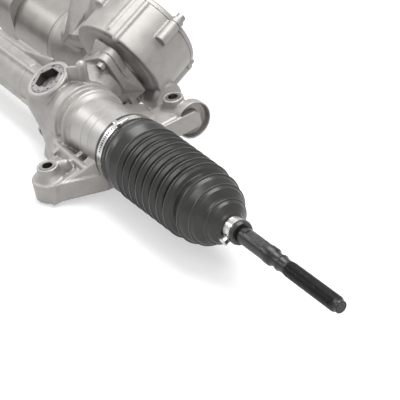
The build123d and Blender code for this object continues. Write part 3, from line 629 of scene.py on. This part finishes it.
def makePlug(name, yokeAxes):
    p = plugShape
    corner = p["across"] / 2 / cos(pi / 6)
    inside = p["radius"] - p["edge"]
    bm = bmesh.new()
    rim = bmesh.ops.create_circle(bm, cap_ends=False, radius=inside, segments=60)["verts"]
    turn = Matrix.Rotation(radians(p["turn"]), 4, "Z")
    bmesh.ops.create_circle(bm, cap_ends=False, radius=corner, segments=6, matrix=turn)
    bmesh.ops.bridge_loops(bm, edges=bm.edges[:])
    bmesh.ops.translate(bm, verts=bm.verts, vec=(0, 0, p["face"]))
    # chamfer, side and underside, then wall and floor of the hexagon
    edges = [e for e in bm.edges if e.is_boundary and all(v in set(rim) for v in e.verts)]
    edges = wallFrom(bm, edges, -p["edge"], p["radius"] / inside)
    edges = wallFrom(bm, edges, p["edge"] - p["thick"])
    bmesh.ops.contextual_create(bm, geom=edges)
    edges = [e for e in bm.edges if e.is_boundary]
    edges = wallFrom(bm, edges, -p["depth"] - p["linerRoom"])
    bmesh.ops.contextual_create(bm, geom=edges)
    bmesh.ops.recalc_face_normals(bm, faces=bm.faces)
    # a thin dark sheet inside the hexagon socket, painted shade for its hollow, is a piece of its own
    socketShadeSheet = bmesh.new()
    bmesh.ops.create_cone(socketShadeSheet, cap_ends=True, segments=6, radius1=corner, radius2=corner,
                          depth=p["depth"],
                          matrix=Matrix.Translation((0, 0, p["face"] - p["depth"] / 2)) @ turn)
    top = [f for f in socketShadeSheet.faces if f.normal.z > 0.9]
    bmesh.ops.delete(socketShadeSheet, geom=top, context="FACES")
    bmesh.ops.solidify(socketShadeSheet, geom=socketShadeSheet.faces[:], thickness=p["linerWall"])
    bmesh.ops.recalc_face_normals(socketShadeSheet, faces=socketShadeSheet.faces)
    pieceFrom(name + "_plug_socket", socketShadeSheet, yokeAxes, "paintedSocketShade", "housing", (), 25)
    pieceFrom(name + "_plug", bm, yokeAxes, "machinedAluminium", "housing",
              [name + "_yoke_plug"], 25)
    floor = p["face"] - p["depth"]
    button = turned([(radius, floor + height) for radius, height in p["button"]], 48)
    pieceFrom(name + "_plug_button", button, yokeAxes, "machinedAluminium", "housing",
              (), 25)
    marks = bmesh.new()
    for angle, length, width in p["stakes"]:
        place = Matrix.Rotation(radians(angle), 4, "Z") @ Matrix.Translation(
            (p["stakePlace"], 0, p["face"] - p["stakeSunk"]))
        size = Matrix.Diagonal((width, length, p["stakeHeight"], 1))
        bmesh.ops.create_cube(marks, size=1, matrix=place @ size)
    bmesh.ops.bevel(marks, geom=marks.edges[:], offset=0.15, offset_type="OFFSET", affect="EDGES",
                    segments=1, profile=0.5, material=-1)
    pieceFrom(name + "_plug_stakes", marks, yokeAxes, "stakeShadow", "housing", (), 25)


makePlug("drive", driveYoke)
makePlug("input", inputYoke)
print("plugs made")


# Boots: moulded bellows, lengths from the inner ball joint

bootShape = {
    "wall": 1.6,
    "cuffStart": -23.0, "cuffEnd": -5.5, "cuffRadius": 36.1, "spigotRadius": 32.55,
    "crests": 8, "firstCrest": 21.6, "lastCrest": 101.6,
    "crestRadius": 38.4, "valleyRadius": 30.5, "drop": 1.4,
    # lines of the folds: radius and place against the cuff's end, the crest, the valley or the small band
    "cuffLip": ((0, 0), (1.5, 0.6), (1.5, 1.6), (0.7, 2.4), (2.2, 7), (1.6, 12)),
    "firstValley": (2, 1),
    "crestLine": ((-3.0, -1.9), (0, -1.0), (0, 0.4), (-1.4, 0.9), (-3.6, 3.4)),
    "valleyLine": ((0.8, -0.5), (0.8, 1)),
    "cups": ((34.3, 26.0, 119.3), (30.2, 20.0, 132.0), (22.3, 12.0, 145.0)),     # crest, valley, place
    "cupCrest": ((-3.0, -2.0), (0, -1.1), (0, 0.2), (-1.4, 0.7), (-2.8, 3.6)),
    "cupValley": ((1.6, 7.6), (0, 9.2)),
    "tail": ((9.6, -4.6), (9.6, 4.6), (11.6, 5.0), (11.6, 7.5), (10.6, 10.0)),
    "smallBand": 160.0, "bandWidth": 8.0, "end": 170.0, "rodRadius": 7.8,
    "rounding": 0.3, "steps": 160,
    # where each blended part starts and ends
    "slideStart": -12.0, "firstSplit": 95.9, "secondSplit": 128.7, "bendEnd": 162.0,
}


def moved(points, radius, along):
    return [(radius + out, along + on) for out, on in points]


def bootLine():
    s = bootShape
    pitch = (s["lastCrest"] - s["firstCrest"]) / (s["crests"] - 1)
    line = [(s["cuffRadius"], s["cuffStart"])]
    line += moved(s["cuffLip"], s["cuffRadius"], s["cuffEnd"])
    line += moved([s["firstValley"]], s["valleyRadius"], s["firstCrest"] - pitch / 2)
    for crest in range(s["crests"]):
        along = s["firstCrest"] + crest * pitch
        drop = s["drop"] * crest / (s["crests"] - 1)
        line += moved(s["crestLine"], s["crestRadius"] - drop, along)
        line += moved(s["valleyLine"], s["valleyRadius"] - drop, along + pitch / 2)
    for radius, valley, along in s["cups"]:
        line += moved(s["cupCrest"], radius, along)
        line += moved(s["cupValley"], valley, along)
    line += moved(s["tail"], 0, s["smallBand"])
    return line


def roundedLine(line, amount):
    # The line with rounded corners, as points from its low end to its high end.
    bm = profile(line, False, amount)
    ends = [v for v in bm.verts if len(v.link_edges) == 1]
    start = min(ends, key=lambda v: v.co.z)
    ordered = [start]
    edge = start.link_edges[0]
    while True:
        nextVert = edge.other_vert(ordered[-1])
        ordered.append(nextVert)
        rest = [e for e in nextVert.link_edges if e != edge]
        if not rest:
            break
        edge = rest[0]
    points = [(v.co.x, v.co.z) for v in ordered]
    bm.free()
    return points


def makeBoot(side, mirrorPlace):
    s = bootShape
    line = roundedLine(bootLine(), s["rounding"])
    first = s["firstSplit"]
    second = s["secondSplit"]
    swivel = "swivel_" + side
    # name, cut from the line, the two bodies and where the blend between them starts and ends
    parts = (("slide", s["cuffStart"] - 1, first, "housing", "rack", s["slideStart"], first),
             ("bend", first, second, "rack", swivel, first, second),
             ("cone", second, s["end"] + 1, swivel, "rod_" + side, second, s["bendEnd"]))
    for name, low, high, bodyA, bodyB, start, end in parts:
        inside = [p for p in line if low < p[1] < high]
        outer = list(inside)
        for edge, position in ((low, 0), (high, len(outer))):
            crossing = [(a, b) for a, b in zip(line, line[1:]) if (a[1] - edge) * (b[1] - edge) < 0]
            if crossing:
                a, b = crossing[0]
                share = (edge - a[1]) / (b[1] - a[1])
                cut = (a[0] + (b[0] - a[0]) * share, edge)
                outer.insert(position if position == 0 else len(outer), cut)
        inner = []
        for radius, along in outer:
            r = s["spigotRadius"] if along <= s["cuffEnd"] + 0.01 else radius - s["wall"]
            tight = along > s["smallBand"] - s["bandWidth"]
            inner.append((s["rodRadius"] if tight else max(r, s["rodRadius"]), along))
        bm = spun(profile(outer + inner[::-1], True), s["steps"])
        piece = pieceFrom("boot_%s_%s" % (side, name), bm, mirrorPlace @ ballAxes, "bootRubber", None,
                          ["boot_" + side], 50, mirrorPlace.determinant() < 0)
        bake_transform(piece)


for side, mirrorPlace in rackEnds:
    makeBoot(side, mirrorPlace)
print("boots made")


# Tie rods, lengths from the inner ball joint

rodShape = {
    # ball neck, shank, collar, waist, thread root and point: radius and place
    "line": ((0.01, 6), (6.5, 6), (6.5, 22), (7.75, 30), (7.75, 176), (7.75, 207), (8.25, 207.6),
             (8.25, 214), (7.75, 215), (6.7, 216.6), (6.4, 217.2), (6.4, 223), (7.3, 223.5), (7.3, 225),
             (6.9, 225.4), (6.3, 229.5), (6.0, 235), (6.0, 295.5), (6.4, 295.7), (5.5, 296.9),
             (5.5, 299.5), (5.0, 300), (0.01, 300)),
    "ball": 12.5,
    "flatStart": 178.0, "flatEnd": 203.0, "flatWidth": 13.0, "flatRunOut": 0.8,
    "threadStart": 229.0, "threadEnd": 295.5, "pitch": 1.5, "crest": 7.0, "root": 6.1, "sunk": 0.3,
    # one turn of the ridge: which radius, and place along the pitch
    "ridge": (("low", 0), ("root", 0.12), ("crest", 0.62), ("crest", 0.88), ("root", 1.38), ("low", 1.5)),
    "threadSteps": 32, "threadPast": 0.8,
    "runIn": 5, "runOut": 1.6,                                  # in turns of thread
}


def makeRod(side, mirrorPlace):
    r = rodShape
    place = mirrorPlace @ ballAxes
    flipped = mirrorPlace.determinant() < 0
    bm = turned(r["line"], 96)
    # wrench flats: the shank is pressed in on two sides
    for along in (r["flatStart"], r["flatStart"] + r["flatRunOut"], r["flatEnd"] - r["flatRunOut"],
                  r["flatEnd"]):
        bmesh.ops.bisect_plane(bm, geom=bm.verts[:] + bm.edges[:] + bm.faces[:], dist=1e-5,
                               plane_co=(0, 0, along), plane_no=(0, 0, 1))
    half = r["flatWidth"] / 2
    for v in bm.verts:
        if r["flatStart"] + 0.5 < v.co.z < r["flatEnd"] - 0.5 and abs(v.co.y) > half:
            v.co.y = half if v.co.y > 0 else -half
    ball = bmesh.new()
    bmesh.ops.create_uvsphere(ball, u_segments=64, v_segments=32, radius=r["ball"])
    joinInto(bm, ball)
    pieceFrom("tie_rod_%s_shank" % side, bm, place, "blackSteel", "rod_" + side,
              ["tie_rod_" + side], 30, flipped)
    # rolled M14 thread: one ridge wound along the root
    thread = bmesh.new()
    start = r["threadStart"]
    radii = {"low": r["root"] - r["sunk"], "root": r["root"], "crest": r["crest"]}
    verts = [thread.verts.new((radii[name], 0, start + along)) for name, along in r["ridge"]]
    for first, second in zip(verts, verts[1:]):
        thread.edges.new((first, second))
    turns = int((r["threadEnd"] - start) / r["pitch"])
    steps = r["threadSteps"]
    bmesh.ops.spin(thread, geom=thread.verts[:] + thread.edges[:], cent=(0, 0, 0), axis=(0, 0, 1),
                   dvec=(0, 0, r["pitch"] / steps), angle=2 * pi * turns, steps=steps * turns,
                   use_merge=False)
    for v in thread.verts:
        radius = (v.co.x ** 2 + v.co.y ** 2) ** 0.5
        runIn = min(1.0, (v.co.z - start) / (r["runIn"] * r["pitch"]))
        left = r["threadEnd"] + r["threadPast"] - v.co.z
        runOut = min(1.0, max(0.0, left / (r["runOut"] * r["pitch"])))
        limit = radii["low"] + (r["crest"] - r["root"] + r["sunk"]) * min(runIn, runOut)
        if radius > limit:
            v.co.x *= limit / radius
            v.co.y *= limit / radius
    bmesh.ops.remove_doubles(thread, verts=thread.verts, dist=0.002)
    bmesh.ops.holes_fill(thread, edges=[e for e in thread.edges if e.is_boundary], sides=0)
    bmesh.ops.recalc_face_normals(thread, faces=thread.faces)
    pieceFrom("tie_rod_%s_thread" % side, thread, place, "blackSteel", "rod_" + side,
              (), 20, flipped)


for side, mirrorPlace in rackEnds:
    makeRod(side, mirrorPlace)
print("tie rods made")


# Boot bands: punched strip round the cuff, ear clamp on the rod

bandShape = {
    "radius": 36.9, "thick": 0.8, "start": 44.0, "width": 8.0, "cells": 432,
    "rows": (0, 0.1, 0.3, 0.7, 0.9, 1),                         # shares of the width
    "top": 90.0,                                                # angles count from +Y, so +Z is here
    "slotStart": 24.0, "slotEnd": 66.0, "slots": 12, "slotShare": 0.55,
    # lugs: size outwards, round and along the band
    "lock": 14.0, "lockSize": (3.0, 4.5, 9.0), "lockSunk": 0.3,
    "tongue": 5.0, "tongueSize": (1.6, 12.0, 5.6), "tongueSunk": 0.5,
    "clampRadius": 10.7, "clampThick": 0.9, "clampStart": 156.0, "clampWidth": 8.0, "clampCells": 96,
    "ear": 200.0, "earSpread": 9.8, "earSize": (5.5, 1.1, 7.4), "earRise": 0.3,
    "bridgeSize": (1.1, 4.6, 7.4), "bridgeRise": 5.0,
}


def bentStrip(name, cells, start, width, radius, thick, isSlot, place, body, nodes, inverted):
    # A flat strip with punched slots, bent to a ring.
    bm = bmesh.new()
    bmesh.ops.create_grid(bm, x_segments=cells, y_segments=5, size=0.5)
    for v in bm.verts:
        row = round((v.co.y + 0.5) * 5)
        v.co.y = bandShape["rows"][row] * width
        v.co.x = round((v.co.x + 0.5) * cells)
    punched = [f for f in bm.faces if isSlot(360 * f.calc_center_median().x / cells)
               and 0.25 * width < f.calc_center_median().y < 0.75 * width]
    bmesh.ops.delete(bm, geom=punched, context="FACES")
    for v in bm.verts:
        angle = 2 * pi * v.co.x / cells
        v.co = (radius * cos(angle), radius * sin(angle), start + v.co.y)
    bmesh.ops.remove_doubles(bm, verts=bm.verts, dist=0.001)
    bmesh.ops.recalc_face_normals(bm, faces=bm.faces)
    bmesh.ops.solidify(bm, geom=bm.faces[:], thickness=thick)
    bmesh.ops.recalc_face_normals(bm, faces=bm.faces)
    return pieceFrom(name, bm, place, "bandSteel", body, nodes, 30, inverted)


def bandLug(name, size, radius, angle, along, place, body, inverted):
    # A folded lug standing on the band at an angle.
    bm = bmesh.new()
    stand = Matrix.Rotation(radians(angle), 4, "Z") @ Matrix.Translation(
        (radius + size[0] / 2, 0, along))
    bmesh.ops.create_cube(bm, size=1, matrix=stand @ Matrix.Diagonal((*size, 1)))
    bmesh.ops.bevel(bm, geom=bm.edges[:], offset=min(size) * 0.22, offset_type="OFFSET", affect="EDGES",
                    segments=2, profile=0.5, material=-1)
    return pieceFrom(name, bm, place, "bandSteel", body, (), 30, inverted)


def makeBands(side, mirrorPlace):
    b = bandShape
    flipped = mirrorPlace.determinant() < 0
    onRack = mirrorPlace @ rackAxes
    onBall = mirrorPlace @ ballAxes
    rod = "rod_" + side

    def isSlot(angle):
        share = (angle - b["top"] - b["slotStart"]) / (b["slotEnd"] - b["slotStart"]) * b["slots"]
        return 0 < share < b["slots"] and share % 1 < b["slotShare"]

    bentStrip("boot_band_" + side, b["cells"], b["start"], b["width"], b["radius"], b["thick"], isSlot,
              onRack, "housing", ["boot_clamp_large_" + side], flipped)
    middle = b["start"] + b["width"] / 2
    bandLug("boot_band_lock_" + side, b["lockSize"], b["radius"] - b["lockSunk"], b["top"] + b["lock"],
            middle, onRack, "housing", flipped)
    bandLug("boot_band_tongue_" + side, b["tongueSize"], b["radius"] - b["tongueSunk"],
            b["top"] + b["tongue"], middle, onRack, "housing", flipped)
    bentStrip("boot_clamp_" + side, b["clampCells"], b["clampStart"], b["clampWidth"], b["clampRadius"],
              b["clampThick"], lambda angle: False, onBall, rod, ["boot_clamp_small_" + side], flipped)
    middle = b["clampStart"] + b["clampWidth"] / 2
    for letter, spread in (("a", -b["earSpread"]), ("b", b["earSpread"])):
        bandLug("boot_clamp_ear_%s_%s" % (side, letter), b["earSize"], b["clampRadius"] + b["earRise"],
                b["ear"] + spread, middle, onBall, rod, flipped)
    bandLug("boot_clamp_bridge_" + side, b["bridgeSize"], b["clampRadius"] + b["bridgeRise"], b["ear"],
            middle, onBall, rod, flipped)


for side, mirrorPlace in rackEnds:
    makeBands(side, mirrorPlace)
print("bands made")


# CAD nodes that keep their shape get their real finish

ownFinish = {"gearbox_bolts": "zincSteel", "cover_bolts": "zincSteel"}
for name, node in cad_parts.items():
    slotName = node.data.materials[0].name.split(".")[0] if node.data.materials else ""
    chosen = ownFinish.get(name, slotFinish.get(slotName))
    if chosen is None:
        print("no finish for", name, slotName)
        chosen = "turnedSteel"
    for index in range(len(node.material_slots)):
        node.material_slots[index].material = finish[chosen]
print("finishes given")


# Stage, light and camera

stage = {
    "floorSize": 30.0,
    "floorCentre": (-0.3, 0.1),
    "floorGap": 0.0005,         # under the lowest point
    "floorGrey": "#C8C8C8",
    "floorGlow": 0.5,           # what the seen rays get beside the lamps' light
    "ambient": 0.34,            # the world's strength for diffuse rays
    # name, place, target, size in metres and watts
    "lamps": (("overheadBox", (-0.1, 0.35, 1.7), (-0.1, 0.1, 0), (2.0, 1.2), 44),
              ("stripBox", (-1.1, -0.9, 0.9), (0, 0.05, 0), (1.6, 0.25), 8),
              ("fillBox", (1.3, -0.5, 1.3), (-0.05, 0.05, 0), (0.9, 0.9), 9)),
    "cameraPlace": (0.888, -0.4128, 0.5109),
    "cameraLook": (-0.7234, 0.4824, -0.4939),
    "lens": 100.8,
}


def seenRays(tree):
    # 1 for camera, glossy and transmission rays, which all show the white background
    path = addNode(tree, "ShaderNodeLightPath")
    direct = addNode(tree, "ShaderNodeMath", {
        0: path.outputs["Is Camera Ray"], 1: path.outputs["Is Glossy Ray"]}, operation="MAXIMUM")
    seen = addNode(tree, "ShaderNodeMath", {
        0: direct.outputs[0], 1: path.outputs["Is Transmission Ray"]}, operation="MAXIMUM")
    return seen.outputs[0]


def makeFloor():
    low = cadBounds[0][2]
    bm = bmesh.new()
    bmesh.ops.create_grid(bm, x_segments=1, y_segments=1, size=stage["floorSize"] / 2)
    mesh = bpy.data.meshes.new("floor")
    bm.to_mesh(mesh)
    bm.free()
    floor = bpy.data.objects.new("floor", mesh)
    floor.location = (*stage["floorCentre"], low - stage["floorGap"])
    bpy.context.collection.objects.link(floor)
    material, tree, output, place = newMaterial("whitePaperFloor")
    diffuse = addNode(tree, "ShaderNodeBsdfDiffuse", {"Color": toLinear(stage["floorGrey"])})
    glow = addNode(tree, "ShaderNodeEmission", {"Color": toLinear("#FFFFFF")})
    strength = addNode(tree, "ShaderNodeMath", {0: seenRays(tree), 1: stage["floorGlow"]},
                       operation="MULTIPLY")
    tree.links.new(strength.outputs[0], glow.inputs["Strength"])
    both = addNode(tree, "ShaderNodeAddShader", {0: diffuse.outputs[0], 1: glow.outputs[0]})
    tree.links.new(both.outputs[0], output.inputs["Surface"])
    mesh.materials.append(material)


def makeWorld():
    world = bpy.data.worlds.new("studio")
    bpy.context.scene.world = world
    world.use_nodes = True
    tree = world.node_tree
    tree.nodes.clear()
    strength = addNode(tree, "ShaderNodeMapRange", {
        "Value": seenRays(tree), "To Min": stage["ambient"], "To Max": 1.0})
    back = addNode(tree, "ShaderNodeBackground", {"Color": toLinear("#FFFFFF"),
                                                  "Strength": strength.outputs["Result"]})
    output = addNode(tree, "ShaderNodeOutputWorld")
    tree.links.new(back.outputs[0], output.inputs["Surface"])


def softbox(name, place, target, size, power):
    lamp = bpy.data.lights.new(name, "AREA")
    lamp.shape = "RECTANGLE"
    lamp.size, lamp.size_y = size
    lamp.energy = power
    piece = bpy.data.objects.new(name, lamp)
    piece.location = place
    piece.rotation_euler = (Vector(target) - Vector(place)).to_track_quat("-Z", "Y").to_euler()
    bpy.context.collection.objects.link(piece)


def makeCamera():
    camera = bpy.data.cameras.new("camera")
    camera.lens = stage["lens"]
    camera.sensor_width = 36
    camera.clip_end = 20
    piece = bpy.data.objects.new("camera", camera)
    piece.location = stage["cameraPlace"]
    piece.rotation_euler = Vector(stage["cameraLook"]).to_track_quat("-Z", "Y").to_euler()
    bpy.context.collection.objects.link(piece)
    bpy.context.scene.camera = piece


makeFloor()
makeWorld()
for lamp in stage["lamps"]:
    softbox(*lamp)
makeCamera()
bpy.context.scene.view_settings.view_transform = "Standard"
